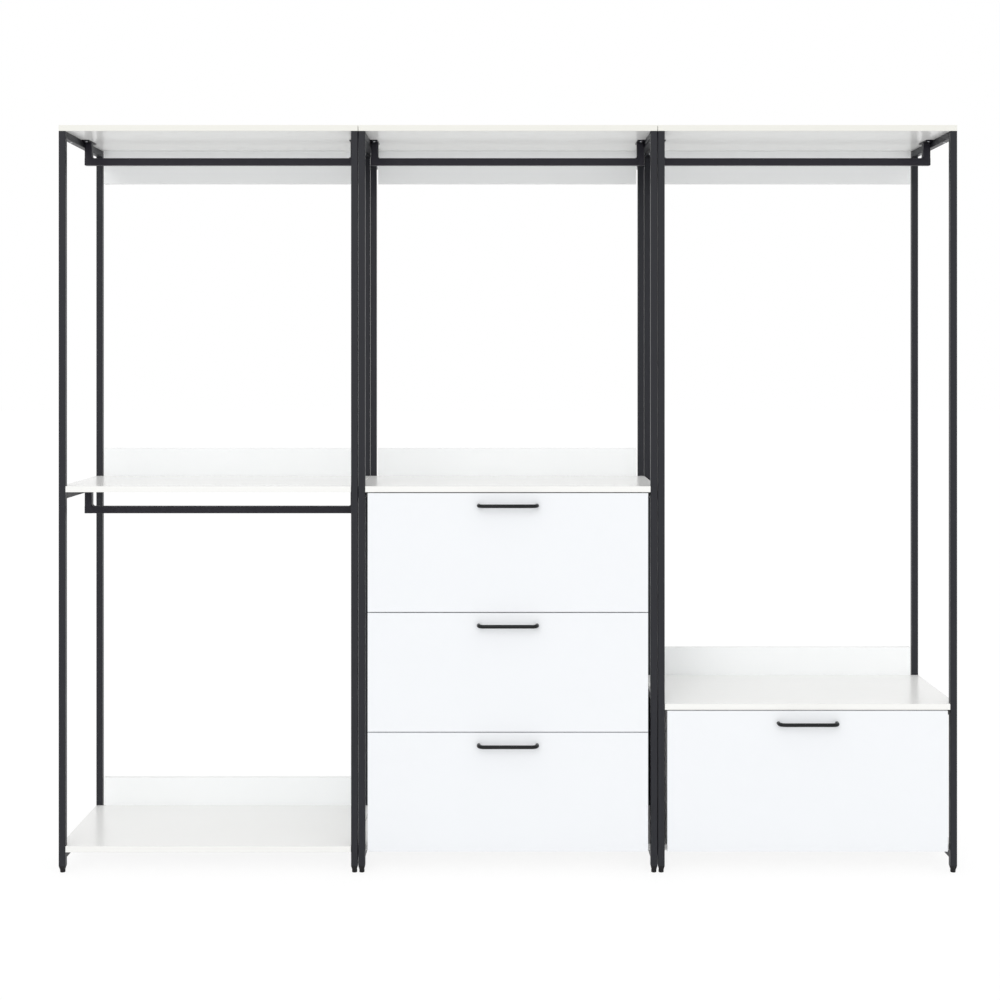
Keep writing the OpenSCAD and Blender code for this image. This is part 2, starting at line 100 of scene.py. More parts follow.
class Element(Enum):
    """Kinds of mesh element, each with the name of its list in a bmesh."""

    VERT = "verts"
    EDGE = "edges"
    FACE = "faces"


@dataclass(frozen=True)
class Solid:
    """One solid of a CAD node, as its corners and points."""

    low: Vector
    high: Vector
    points: tuple[Vector, ...]

    @property
    def middle(self) -> Vector:
        """Middle of the solid's box."""
        return (self.low + self.high) / 2

    @property
    def size(self) -> Vector:
        """Edge lengths of the solid's box."""
        return self.high - self.low

    @property
    def long_axis(self) -> Axis:
        """Axis along which the solid is longest."""
        return max(Axis, key=lambda axis: self.size[axis.value])

    @property
    def thin_axis(self) -> Axis:
        """Axis along which the solid is thinnest."""
        return min(Axis, key=lambda axis: self.size[axis.value])

    def reach_at(self, axis: Axis, place: float) -> float:
        """Largest distance from the solid's middle line among its points at one end.

        Args:
            axis: Axis of the middle line.
            place: Coordinate of the end along that axis.

        Returns:
            The distance in metres.
        """
        slack = 0.01 * MM
        reach = 0.0
        for point in self.points:
            if abs(point[axis.value] - place) < slack:
                offset = point - self.middle
                offset[axis.value] = 0.0
                reach = max(reach, offset.length)
        return reach


def solids_of(node: str) -> list[Solid]:
    """Finds the separate solids of a CAD node.

    Args:
        node: Name of the node.

    Returns:
        The solids, ordered by the lowest corners of their boxes.
    """
    mesh = bmesh.new()
    mesh.from_mesh(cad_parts[node].data)
    bmesh.ops.remove_doubles(mesh, verts=mesh.verts, dist=MERGE_DISTANCE)
    found, seen = [], set()
    for start in mesh.verts:
        if start in seen:
            continue
        seen.add(start)
        island, queue = [], [start]
        while queue:
            point = queue.pop()
            island.append(point.co.copy())
            for edge in point.link_edges:
                other = edge.other_vert(point)
                if other not in seen:
                    seen.add(other)
                    queue.append(other)
        low = Vector([min(point[i] for point in island) for i in range(3)])
        high = Vector([max(point[i] for point in island) for i in range(3)])
        found.append(Solid(low, high, tuple(island)))
    mesh.free()
    return sorted(found, key=lambda solid: [round(value, ORDER_DIGITS) for value in solid.low])


class Bench:
    """Modelling tools for one piece at a time, used as by hand."""

    @staticmethod
    def clear() -> None:
        """Leaves edit mode and deselects everything."""
        if bpy.context.object is not None and bpy.context.object.mode != "OBJECT":
            bpy.ops.object.mode_set(mode="OBJECT")
        bpy.ops.object.select_all(action="DESELECT")

    @staticmethod
    def take(*pieces: Piece) -> None:
        """Selects these pieces alone and makes the first one active.

        Args:
            pieces: The pieces to select.
        """
        Bench.clear()
        for piece in pieces:
            piece.select_set(True)
        bpy.context.view_layer.objects.active = pieces[0]

    @staticmethod
    def label(piece: Piece, name: str) -> Piece:
        """Names a piece and its mesh, and returns the piece."""
        piece.name = piece.data.name = name
        return piece

    @staticmethod
    def settle(name: str) -> Piece:
        """Names the new primitive and moves its place into its mesh."""
        bpy.ops.object.transform_apply(location=True, rotation=True, scale=True)
        return Bench.label(bpy.context.object, name)

    @staticmethod
    def block(name: str, low: Iterable[float], high: Iterable[float]) -> Piece:
        """Adds a block between two corners.

        Args:
            name: Name of the piece.
            low: Lowest corner.
            high: Highest corner.

        Returns:
            The new piece.
        """
        low, high = Vector(low), Vector(high)
        Bench.clear()
        bpy.ops.mesh.primitive_cube_add(size=1, location=(low + high) / 2, scale=high - low)
        return Bench.settle(name)

    @staticmethod
    def rod(name: str, start: Vector, end: Vector, diameter: float, sides: int) -> Piece:
        """Adds a round rod with closed ends between two points.

        Args:
            name: Name of the piece.
            start: Middle of the first end.
            end: Middle of the second end.
            diameter: Diameter of the rod.
            sides: Number of sides.

        Returns:
            The new piece.
        """
        along = end - start
        turn = along.to_track_quat("Z", "Y").to_euler()
        Bench.clear()
        bpy.ops.mesh.primitive_cylinder_add(
            vertices=sides, radius=diameter / 2, depth=along.length, location=(start + end) / 2, rotation=turn
        )
        return Bench.settle(name)

    @staticmethod
    @contextmanager
    def editing(piece: Piece) -> Iterator[None]:
        """Opens a piece in edit mode for the calls inside the with block.

        Args:
            piece: The piece to edit.

        Returns:
            The context of the with block.
        """
        Bench.take(piece)
        bpy.ops.object.mode_set(mode="EDIT")
        bpy.ops.mesh.select_all(action="DESELECT")
        yield
        bpy.ops.object.mode_set(mode="OBJECT")

    @staticmethod
    def pick(piece: Piece, kind: Element, test: Callable[..., bool]) -> int:
        """Selects the elements of one kind that pass a test, in edit mode.

        Args:
            piece: The piece in edit mode.
            kind: Kind of the elements.
            test: Says whether an element is wanted.

        Returns:
            The number of elements selected.
        """
        bpy.ops.mesh.select_mode(type=kind.name)
        bpy.ops.mesh.select_all(action="DESELECT")
        mesh = bmesh.from_edit_mesh(piece.data)
        wanted = [element for element in getattr(mesh, kind.value) if test(element)]
        for element in wanted:
            element.select_set(True)
        bmesh.update_edit_mesh(piece.data)
        return len(wanted)

    @staticmethod
    def sharp(edge: Edge, least: float = SHARP_ANGLE) -> bool:
        """Says whether an edge's two faces meet at more than the given angle."""
        return len(edge.link_faces) == 2 and edge.calc_face_angle(0.0) > least

    @staticmethod
    def span(edge: Edge, axis: Axis) -> float:
        """Length of an edge along an axis."""
        return abs((edge.verts[0].co - edge.verts[1].co)[axis.value])

    @staticmethod
    def round_edges(
        piece: Piece, width: float, segments: int, test: Callable[[Edge], bool] = lambda edge: True
    ) -> None:
        """Bevels a piece's sharp edges, or those of them that pass a test.

        Args:
            piece: The piece to bevel.
            width: Width of the bevel.
            segments: Number of faces across the bevel.
            test: Says whether a sharp edge is wanted.
        """
        with Bench.editing(piece):
            if Bench.pick(piece, Element.EDGE, lambda e: Bench.sharp(e) and test(e)):
                bpy.ops.mesh.bevel(offset=width, segments=segments, affect="EDGES", clamp_overlap=True)

    @staticmethod
    def extrude(move: Vector) -> None:
        """Extrudes what is selected in edit mode and moves it."""
        bpy.ops.mesh.extrude_region_move(TRANSFORM_OT_translate={"value": tuple(move)})

    @staticmethod
    def apply(piece: Piece, kind: str, **settings: object) -> None:
        """Adds a modifier and applies it.

        Args:
            piece: The piece to change.
            kind: Type of the modifier.
            settings: Values for its settings.
        """
        Bench.take(piece)
        modifier = piece.modifiers.new(kind.lower(), kind)
        for key, value in settings.items():
            setattr(modifier, key, value)
        bpy.ops.object.modifier_apply(modifier=modifier.name)

    @staticmethod
    def cut(piece: Piece, cutter: Piece) -> None:
        """Cuts a closed cutter out of a piece and removes the cutter.

        Args:
            piece: The piece to cut.
            cutter: The piece that is taken away.
        """
        Bench.apply(
            piece, "BOOLEAN", object=cutter, operation="DIFFERENCE", solver="EXACT", material_mode="TRANSFER"
        )
        bpy.data.objects.remove(cutter)

    @staticmethod
    def copy(piece: Piece, name: str, place: Matrix) -> Piece:
        """Copies a piece with a mesh of its own and puts the copy's mesh in place.

        Args:
            piece: The piece to copy.
            name: Name of the copy.
            place: Transform from the piece's place to the copy's.

        Returns:
            The copy.
        """
        made = piece.copy()
        made.data = piece.data.copy()
        made.data.transform(place)
        bpy.context.scene.collection.objects.link(made)
        return Bench.label(made, name)

    @staticmethod
    def join(name: str, pieces: list[Piece]) -> Piece:
        """Joins pieces into the first one.

        Args:
            name: Name of the joined piece.
            pieces: The pieces to join.

        Returns:
            The joined piece.
        """
        Bench.take(*pieces)
        if len(pieces) > 1:
            bpy.ops.object.join()
        return Bench.label(pieces[0], name)

    @staticmethod
    def heal(piece: Piece) -> None:
        """Merges doubled points and turns all faces outwards.

        Args:
            piece: The piece to heal.
        """
        with Bench.editing(piece):
            bpy.ops.mesh.select_all(action="SELECT")
            bpy.ops.mesh.remove_doubles(threshold=MERGE_DISTANCE)
            bpy.ops.mesh.normals_make_consistent(inside=False)

    @staticmethod
    def smooth(piece: Piece, angle: float = SHARP_ANGLE) -> None:
        """Shades a piece smooth up to an angle between faces."""
        Bench.take(piece)
        bpy.ops.object.shade_smooth_by_angle(angle=angle)

    @staticmethod
    def paint(piece: Piece, *finishes: "Finish") -> None:
        """Gives a piece finishes in place of its own materials.

        Args:
            piece: The piece to paint.
            finishes: The finishes, in the order of the material slots.
        """
        indices = [polygon.material_index for polygon in piece.data.polygons]
        piece.data.materials.clear()
        for finish in finishes:
            piece.data.materials.append(finish.material())
        for polygon, index in zip(piece.data.polygons, indices):
            polygon.material_index = min(index, len(finishes) - 1)


class Graph:
    """A node tree with short calls that add nodes and link them."""

    def __init__(self, tree: NodeTree) -> None:
        """Starts with an empty tree."""
        self.tree = tree
        tree.nodes.clear()

    def add(self, kind: str, inputs: dict | None = None, **settings: object) -> Node:
        """Adds a node.

        Args:
            kind: Type of the node.
            inputs: Values or output sockets for the node's inputs, by name or number.
            settings: Values for the node's own settings.

        Returns:
            The new node.
        """
        node = self.tree.nodes.new(kind)
        for key, value in settings.items():
            setattr(node, key, value)
        for key, value in (inputs or {}).items():
            if isinstance(value, Socket):
                self.tree.links.new(value, node.inputs[key])
            else:
                node.inputs[key].default_value = value
        return node

    def math(self, operation: str, *values: object) -> Socket:
        """Adds a Math node and returns its output."""
        return self.add("ShaderNodeMath", dict(enumerate(values)), operation=operation).outputs[0]

    def use(self, group: NodeTree, inputs: dict) -> Node:
        """Adds a node that uses a group with these inputs."""
        return self.add("ShaderNodeGroup", inputs, node_tree=group)

    def place(self) -> Socket:
        """Adds Object coordinates and returns them."""
        return self.add("ShaderNodeTexCoord").outputs["Object"]

    def mix(self, factor: Socket, colour: Socket, other: Colour) -> Socket:
        """Mixes a fixed colour into another one.

        Args:
            factor: Share of the fixed colour.
            colour: The colour that changes over the surface.
            other: The fixed colour.

        Returns:
            The mixed colour.
        """
        node = self.add("ShaderNodeMix", {"Factor": factor}, data_type="RGBA")
        self.tree.links.new(colour, node.inputs["A"])
        node.inputs["B"].default_value = (*other, 1.0)
        return node.outputs["Result"]


class Effects:
    """Shader node groups that the finishes share. Each is built once and has one output."""

    noise_roughness: ClassVar[float] = 0.55
    fine_gloss_ratio: ClassVar[float] = 0.13
    swell_ratio: ClassVar[float] = 9.0
    swell_share: ClassVar[float] = 0.6
    edge_turn: ClassVar[float] = 0.8
    built: ClassVar[dict[str, NodeTree]] = {}

    @classmethod
    def group(
        cls, name: str, inputs: Iterable[str], output: str, fill: Callable[[Graph, Node], Socket]
    ) -> NodeTree:
        """Builds a node group on its first use. A socket named Colour is a colour, the others are values.

        Args:
            name: Name of the group.
            inputs: Names of the inputs.
            output: Name of the output.
            fill: Adds the nodes and returns the socket that feeds the output.

        Returns:
            The group.
        """
        if name not in cls.built:
            tree = bpy.data.node_groups.new(name, "ShaderNodeTree")
            for key, way in (*((key, "INPUT") for key in inputs), (output, "OUTPUT")):
                kind = "NodeSocketColor" if key == "Colour" else "NodeSocketFloat"
                tree.interface.new_socket(key, in_out=way, socket_type=kind)
            graph = Graph(tree)
            graph.add("NodeGroupOutput", {output: fill(graph, graph.add("NodeGroupInput"))})
            cls.built[name] = tree
        return cls.built[name]

    @staticmethod
    def noise(graph: Graph, size: Socket, detail: float) -> Socket:
        """Adds noise on Object coordinates.

        Args:
            graph: The tree to add to.
            size: Size of the spots.
            detail: Number of finer layers.

        Returns:
            The noise.
        """
        node = graph.add("ShaderNodeTexNoise", {
            "Vector": graph.place(), "Scale": graph.math("DIVIDE", 1.0, size), "Detail": detail,
            "Roughness": Effects.noise_roughness,
        })
        return node.outputs["Fac"]

    @classmethod
    def tone_drift(cls) -> NodeTree:
        """Group that lets a colour drift lighter and darker over the surface.

        Returns:
            The group.
        """

        def fill(graph: Graph, entry: Node) -> Socket:
            """Scales the colour by one plus or minus the amount.

            Args:
                graph: The group's tree.
                entry: The group's input node.

            Returns:
                The drifting colour.
            """
            noise = cls.noise(graph, entry.outputs["Size"], 3.0)
            centred = graph.math("MULTIPLY_ADD", noise, 2.0, -1.0)
            factor = graph.math("MULTIPLY_ADD", centred, entry.outputs["Amount"], 1.0)
            inputs = {0: entry.outputs["Colour"], "Scale": factor}
            return graph.add("ShaderNodeVectorMath", inputs, operation="SCALE").outputs["Vector"]

        return cls.group("tone drift", ("Colour", "Amount", "Size"), "Colour", fill)

    @classmethod
    def gloss_drift(cls) -> NodeTree:
        """Group that lets a roughness drift over the surface, as handling does.

        Returns:
            The group.
        """

        def fill(graph: Graph, entry: Node) -> Socket:
            """Adds noise of two sizes to the roughness.

            Args:
                graph: The group's tree.
                entry: The group's input node.

            Returns:
                The drifting roughness.
            """
            wide = cls.noise(graph, entry.outputs["Size"], 2.0)
            fine = cls.noise(graph, graph.math("MULTIPLY", entry.outputs["Size"], cls.fine_gloss_ratio), 4.0)
            both = graph.math("ADD", wide, fine)
            centred = graph.math("SUBTRACT", both, 1.0)
            drift = graph.math("MULTIPLY", centred, entry.outputs["Amount"])
            return graph.math("ADD", entry.outputs["Roughness"], drift)

        return cls.group("gloss drift", ("Roughness", "Amount", "Size"), "Roughness", fill)

    @classmethod
    def fine_relief(cls) -> NodeTree:
        """Group that gives the height of a fine orange peel or pearl emboss.

        Returns:
            The group.
        """

        def fill(graph: Graph, entry: Node) -> Socket:
            """Adds a soft swell to fine grains and scales both to the depth.

            Args:
                graph: The group's tree.
                entry: The group's input node.

            Returns:
                The height.
            """
            grain = cls.noise(graph, entry.outputs["Size"], 2.0)
            swell = cls.noise(graph, graph.math("MULTIPLY", entry.outputs["Size"], cls.swell_ratio), 1.0)
            both = graph.math("MULTIPLY_ADD", swell, cls.swell_share, grain)
            return graph.math("MULTIPLY", both, entry.outputs["Depth"])

        return cls.group("fine relief", ("Size", "Depth"), "Height", fill)

    @classmethod
    def edge_mask(cls) -> NodeTree:
        """Group that gives 1 along convex edges and 0 on the flats.

        Returns:
            The group.
        """

        def fill(graph: Graph, entry: Node) -> Socket:
            """Compares the surface's normal with one rounded over the radius.

            Args:
                graph: The group's tree.
                entry: The group's input node.

            Returns:
                The mask.
            """
            rounded = graph.add("ShaderNodeBevel", {"Radius": entry.outputs["Radius"]}, samples=4)
            plain = graph.add("ShaderNodeNewGeometry").outputs["Normal"]
            inputs = {0: rounded.outputs["Normal"], 1: plain}
            alike = graph.add("ShaderNodeVectorMath", inputs, operation="DOT_PRODUCT").outputs["Value"]
            inputs = {"Value": alike, "From Min": 1.0, "From Max": cls.edge_turn}
            return graph.add("ShaderNodeMapRange", inputs).outputs["Result"]

        return cls.group("edge mask", ("Radius",), "Mask", fill)


@dataclass(frozen=True)
class Finish:
    """A finish whose tone and gloss drift a little, over a fine relief."""

    name: str
    colour: Colour
    roughness: float
    tone_amount: float = 0.015
    tone_size: float = 0.12
    gloss_amount: float = 0.05
    gloss_size: float = 0.2
    relief_size: float = 0.0012
    relief_depth: float = 0.000006
    specular: float = 0.5

    def shader_values(self) -> dict[str, object]:
        """Values for the shader's own sockets that are the same all over."""
        return {"Specular IOR Level": self.specular}

    def tint(self, graph: Graph, colour: Socket) -> Socket:
        """Adds the finish's own pattern to the drifting colour and returns the result."""
        return colour

    def relief(self, graph: Graph, height: Socket) -> Socket:
        """Adds the finish's own marks to the fine relief and returns the result."""
        return height

    def material(self) -> bpy.types.Material:
        """Builds the material on its first use.

        Returns:
            The material.
        """
        if self.name in bpy.data.materials:
            return bpy.data.materials[self.name]
        made = bpy.data.materials.new(self.name)
        made.use_nodes = True
        made.diffuse_color = (*self.colour, 1.0)
        graph = Graph(made.node_tree)
        tone = graph.use(Effects.tone_drift(), {
            "Colour": (*self.colour, 1.0), "Amount": self.tone_amount, "Size": self.tone_size,
        })
        gloss = graph.use(Effects.gloss_drift(), {
            "Roughness": self.roughness, "Amount": self.gloss_amount, "Size": self.gloss_size,
        })
        relief = graph.use(Effects.fine_relief(), {"Size": self.relief_size, "Depth": self.relief_depth})
        bump = graph.add("ShaderNodeBump", {
            "Height": self.relief(graph, relief.outputs["Height"]), "Strength": 1.0, "Distance": 1.0,
        })
        shader = graph.add("ShaderNodeBsdfPrincipled", {
            "Base Color": self.tint(graph, tone.outputs["Colour"]),
            "Roughness": gloss.outputs["Roughness"],
            "Normal": bump.outputs["Normal"],
            **self.shader_values(),
        })
        graph.add("ShaderNodeOutputMaterial", {"Surface": shader.outputs["BSDF"]})
        return made


@dataclass(frozen=True)
class PowderCoat(Finish):
    """Satin powder coat on steel: orange peel, and painted shade as a darker line along the tubes' edges,
    standing in for their darker reflections.
    """

    edge_radius: float = 0.0016
    # Colour of the painted shade that darkens the coat along the edges.
    painted_edge_shade: Colour = (0.004, 0.004, 0.006)

    def tint(self, graph: Graph, colour: Socket) -> Socket:
        """Paints shade along the tubes' edges as a darker line in the coat."""
        mask = graph.use(Effects.edge_mask(), {"Radius": self.edge_radius}).outputs["Mask"]
        return graph.mix(mask, colour, self.painted_edge_shade)


@dataclass(frozen=True)
class ZincPlate(Finish):
    """Bright zinc on sheet steel, drawn along the front-to-back axis."""

    streak_stretch: float = 40.0
    streak_size: float = 0.0006
    streak_depth: float = 0.000004

    def shader_values(self) -> dict[str, object]:
        """Zinc is a metal."""
        return {"Metallic": 1.0}

    def relief(self, graph: Graph, height: Socket) -> Socket:
        """Adds fine drawing marks that run along Y.

        Args:
            graph: The material's tree.
            height: The fine relief.

        Returns:
            The relief with the marks.
        """
        squeeze = (1.0, 1.0 / self.streak_stretch, 1.0)
        drawn = graph.add("ShaderNodeMapping", {"Vector": graph.place(), "Scale": squeeze}).outputs["Vector"]
        inputs = {"Vector": drawn, "Scale": 1.0 / self.streak_size, "Detail": 2.0}
        streaks = graph.add("ShaderNodeTexNoise", inputs).outputs["Fac"]
        return graph.math("MULTIPLY_ADD", streaks, self.streak_depth, height)


@dataclass(frozen=True)
class Chipboard(Finish):
    """Raw particle board, seen only where a recess cuts through the laminate."""

    chip_size: float = 0.0016
    dark_chip: Colour = (0.30, 0.20, 0.11)

    def tint(self, graph: Graph, colour: Socket) -> Socket:
        """Mixes in darker chips.

        Args:
            graph: The material's tree.
            colour: The drifting colour.

        Returns:
            The colour with the chips.
        """
        inputs = {"Vector": graph.place(), "Scale": 1.0 / self.chip_size}
        cells = graph.add("ShaderNodeTexVoronoi", inputs).outputs["Color"]
        value = graph.add("ShaderNodeSeparateColor", {"Color": cells}).outputs["Red"]
        return graph.mix(value, colour, self.dark_chip)


FRAME_COAT = PowderCoat(
    "charcoal powder coat", (0.0140, 0.0148, 0.0195), 0.42, tone_amount=0.10, relief_size=0.0011,
    relief_depth=0.000010, specular=0.30,
)
RAIL_COAT = replace(FRAME_COAT, name="charcoal rail coat", colour=(0.0125, 0.0115, 0.0185), roughness=0.40)
# The same powder coat over the welds, painted darker than the frame coat as painted shade that keeps the
# beads' highlight dim.
WELD_COAT_WITH_PAINTED_SHADE = PowderCoat(
    "coat over weld", (0.0060, 0.0060, 0.0085), 0.45, tone_amount=0.12, relief_size=0.002, specular=0.3,
)
HANDLE_LACQUER = Finish(
    "black handle lacquer", (0.0040, 0.0045, 0.0055), 0.34, tone_amount=0.08, relief_size=0.0009,
    relief_depth=0.000005, specular=0.25,
)
FOOT_PLASTIC = Finish(
    "black moulded plastic", (0.0045, 0.0045, 0.0055), 0.55, tone_amount=0.06, relief_size=0.0006,
    relief_depth=0.00002, specular=0.3,
)
# A gloss drift of 0.05 gives pale flecks on the fronts after denoising, so the laminates have less.
SHELF_LAMINATE = Finish(
    "white shelf laminate", (0.898, 0.898, 0.886), 0.24, tone_amount=0.010, gloss_amount=0.03,
)
PANEL_LAMINATE = Finish(
    "white panel laminate", (0.945, 0.958, 0.960), 0.26, tone_amount=0.010, gloss_amount=0.015,
)
FRONT_LAMINATE = Finish(
    "cool white front laminate", (0.856, 0.873, 0.895), 0.26, tone_amount=0.008, gloss_amount=0.015,
)
TOP_BAND = Finish("cream edge band", (0.798, 0.793, 0.742), 0.32, tone_amount=0.012, tone_size=0.05)
SHELF_BAND = replace(TOP_BAND, name="warm white edge band", colour=(0.880, 0.880, 0.858))
PANEL_BAND = replace(TOP_BAND, name="white edge band", colour=(0.905, 0.912, 0.905))
BOX_FOIL = Finish("white drawer foil", (0.840, 0.840, 0.828), 0.38, relief_size=0.0010)
HARDBOARD = Finish(
    "white lacquered hardboard", (0.800, 0.800, 0.788), 0.45, tone_amount=0.020, relief_size=0.0008,
    relief_depth=0.000015,
)
ZINC = ZincPlate(
    "bright zinc plate", (0.620, 0.630, 0.650), 0.30, tone_amount=0.06, tone_size=0.02, gloss_amount=0.12,
    gloss_size=0.03, relief_size=0.002, relief_depth=0.000004,
)
CHIPBOARD = Chipboard("raw chipboard", (0.52, 0.38, 0.22), 0.85, relief_size=0.001, relief_depth=0.00006)


def finish_piece(piece: Piece, slot: Slot, body: str, *nodes: str) -> None:
    """Ties a finished piece to its body and hides the nodes that it stands for.

    Args:
        piece: The finished piece.
        slot: Slot of the record for the piece's finish; not used.
        body: CAD body that carries the piece.
        nodes: CAD nodes that the piece replaces.
    """
    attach(piece, body)
    if nodes:
        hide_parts(*nodes)
    LOG.info("%s: %d faces on %s", piece.name, len(piece.data.polygons), body)


def dress_node(node: str, finish: Finish) -> None:
    """Gives a finish to a CAD node that keeps its own solid."""
    Bench.paint(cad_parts[node], finish)
    LOG.info("%s: %s on its own solid", node, finish.name)


@dataclass
class Board:
    """A laminated board with banded edges, made over the solids of one CAD node.

    The laminate's faces are inset by the band's thickness, so that the band shows as a thin frame.
    """

    node: str
    slot: Slot
    face: Finish
    band: Finish
    body: str = ROOT_BODY
    band_t: float = 1.0 * MM
    edge_r: float = 0.5 * MM
    edge_segments: int = 3

    def build(self) -> None:
        """Models, dresses and ties the board."""
        parts = []
        for solid in solids_of(self.node):
            part = self.blank(solid)
            self.lay_band(part, solid.thin_axis)
            Bench.round_edges(part, self.edge_r, self.edge_segments)
            Bench.paint(part, self.face, self.band)
            self.drill(part, solid)
            parts.append(part)
        finish_piece(Bench.join(f"{self.node}_laminated", parts), self.slot, self.body, self.node)

    def blank(self, solid: Solid) -> Piece:
        """Cuts the plain board."""
        return Bench.block(self.node, solid.low, solid.high)

    def lay_band(self, part: Piece, thin: Axis) -> None:
        """Insets the two large faces and gives all that lies outside them to the band.

        Args:
            part: The plain board.
            thin: Axis across the board's thickness.
        """
        with Bench.editing(part):
            Bench.pick(part, Element.FACE, lambda face: abs(face.normal[thin.value]) > FACING)
            bpy.ops.mesh.inset(thickness=self.band_t, depth=0.0, use_individual=True)
            mesh = bmesh.from_edit_mesh(part.data)
            for face in mesh.faces:
                face.material_index = 0 if face.select else 1
            bmesh.update_edit_mesh(part.data)

    def drill(self, part: Piece, solid: Solid) -> None:
        """Leaves the board whole. Boards with sunk screws drill their recesses here."""


@dataclass
class ScrewedBoard(Board):
    """A board with recesses in which the heads of its screws lie."""

    recess_play: float = 0.3 * MM
    recess_sides: int = 32
    screw_node: str = "wood_screws"

    def drill(self, part: Piece, solid: Solid) -> None:
        """Cuts a recess over each screw head that lies inside the board.

        Args:
            part: The board.
            solid: The solid that the board stands for.
        """
        cutters = []
        for screw in screws_of(self.screw_node):
            head = screw.seat - screw.direction * screw.head_h
            if all(solid.low[i] < head[i] < solid.high[i] for i in range(3)):
                mouth = head - screw.direction * (self.band_t + self.edge_r)
                width = screw.head_d + 2 * self.recess_play
                cutters.append(Bench.rod("recess", mouth, screw.seat, width, self.recess_sides))
        if cutters:
            cutter = Bench.join("recesses", cutters)
            Bench.paint(cutter, CHIPBOARD)
            Bench.cut(part, cutter)


@dataclass
class NotchedShelf(Board):
    """A shelf cut out round the two front posts."""

    flat_angle: float = math.radians(1)
    slack: float = 0.05 * MM

    def blank(self, solid: Solid) -> Piece:
        """Cuts the shelf's rear part and pulls its middle out to the front.

        Args:
            solid: The solid that the shelf stands for.

        Returns:
            The notched board.
        """
        middle_x = solid.middle.x
        inner = max(p.x for p in solid.points if abs(p.y - solid.low.y) < self.slack) - middle_x
        notch_y = min(p.y for p in solid.points if abs(p.x - solid.high.x) < self.slack)
        shelf = Bench.block(self.node, (solid.low.x, notch_y, solid.low.z), solid.high)
        with Bench.editing(shelf):
            for side in (-1, 1):
                bpy.ops.mesh.select_all(action="SELECT")
                bpy.ops.mesh.bisect(
                    plane_co=Axis.X.reach(middle_x + side * inner), plane_no=Axis.X.reach(1.0)
                )
            Bench.pick(
                shelf, Element.FACE,
                lambda f: f.normal.y < -FACING and abs(f.calc_center_median().x - middle_x) < inner,
            )
            Bench.extrude(Axis.Y.reach(solid.low.y - notch_y))
            bpy.ops.mesh.select_all(action="SELECT")
            bpy.ops.mesh.dissolve_limited(angle_limit=self.flat_angle)
        Bench.heal(shelf)
        return shelf


@dataclass(frozen=True)
class Screw:
    """One screw of a CAD node: where its head seats and how long it is."""

    seat: Vector
    direction: Vector
    head_d: float
    head_h: float
    shank_d: float
    shank_l: float

    @property
    def place(self) -> Matrix:
        """Transform of a screw that points up from the origin."""
        turn = self.direction.to_track_quat("Z", "Y").to_matrix().to_4x4()
        return Matrix.Translation(self.seat) @ turn


def screws_of(node: str) -> list[Screw]:
    """Reads the screws of a CAD node.

    Args:
        node: Name of the node.

    Returns:
        One entry for each screw.
    """
    found = []
    for solid in solids_of(node):
        axis = solid.long_axis
        ends = (solid.low[axis.value], solid.high[axis.value])
        tip, head_end = sorted(ends, key=lambda end: solid.reach_at(axis, end))
        thin, wide = solid.reach_at(axis, tip), solid.reach_at(axis, head_end)
        levels = {round(point[axis.value], LEVEL_DIGITS) for point in solid.points}
        seat_level = sorted(levels, key=lambda level: abs(level - head_end))[1]
        seat = solid.middle
        seat[axis.value] = seat_level
        direction = axis.reach(math.copysign(1.0, tip - head_end))
        head_h, shank_l = abs(seat_level - head_end), abs(tip - seat_level)
        found.append(Screw(seat, direction, 2 * wide, head_h, 2 * thin, shank_l))
    return found


@dataclass
class ScrewSet:
    """Cross-head screws, one over each screw of a CAD node."""

    node: str
    body: str
    dome: float = 0.9 * MM
    cross_w: float = 1.1 * MM
    cross_share: float = 0.62
    cross_depth: float = 1.3 * MM
    tip_l: float = 4.0 * MM
    tip_share: float = 0.12
    sides: int = 20
    dome_segments: int = 3

    def build(self) -> None:
        """Models one screw of each length and copies it to its places."""
        patterns: dict[float, Piece] = {}
        copies = []
        for number, screw in enumerate(screws_of(self.node)):
            key = round(screw.shank_l, ORDER_DIGITS)
            if key not in patterns:
                patterns[key] = self.pattern(screw)
            copies.append(Bench.copy(patterns[key], f"{self.node}_{number}", screw.place))
        for pattern in patterns.values():
            bpy.data.objects.remove(pattern)
        piece = Bench.join(f"{self.node}_cross_head", copies)
        Bench.paint(piece, ZINC)
        Bench.smooth(piece)
        finish_piece(piece, Slot.ZINC, self.body, self.node)

    def pattern(self, screw: Screw) -> Piece:
        """Models a screw that points up, with its head's seat at the origin.

        Args:
            screw: Sizes of the screw.

        Returns:
            The screw.
        """
        under = Axis.Z.reach(-screw.head_h)
        head = Bench.rod("head", under, Vector(), screw.head_d, self.sides)
        Bench.round_edges(
            head, self.dome, self.dome_segments, lambda e: all(v.co.z < -screw.head_h / 2 for v in e.verts)
        )
        long, short = screw.head_d * self.cross_share / 2, self.cross_w / 2
        for half in (Vector((long, short, 0.0)), Vector((short, long, 0.0))):
            low = under - half - Axis.Z.reach(self.dome)
            high = under + half + Axis.Z.reach(self.cross_depth)
            Bench.cut(head, Bench.block("slot", low, high))
        top = Axis.Z.reach(screw.shank_l)
        shank = Bench.rod("shank", Vector(), top, screw.shank_d, self.sides)
        with Bench.editing(shank):
            Bench.pick(shank, Element.FACE, lambda face: face.normal.z > FACING)
            bpy.ops.transform.translate(value=Axis.Z.reach(-self.tip_l))
            Bench.extrude(Axis.Z.reach(self.tip_l))
            bpy.ops.transform.resize(value=(self.tip_share, self.tip_share, 1.0), center_override=top)
        return Bench.join("screw", [head, shank])


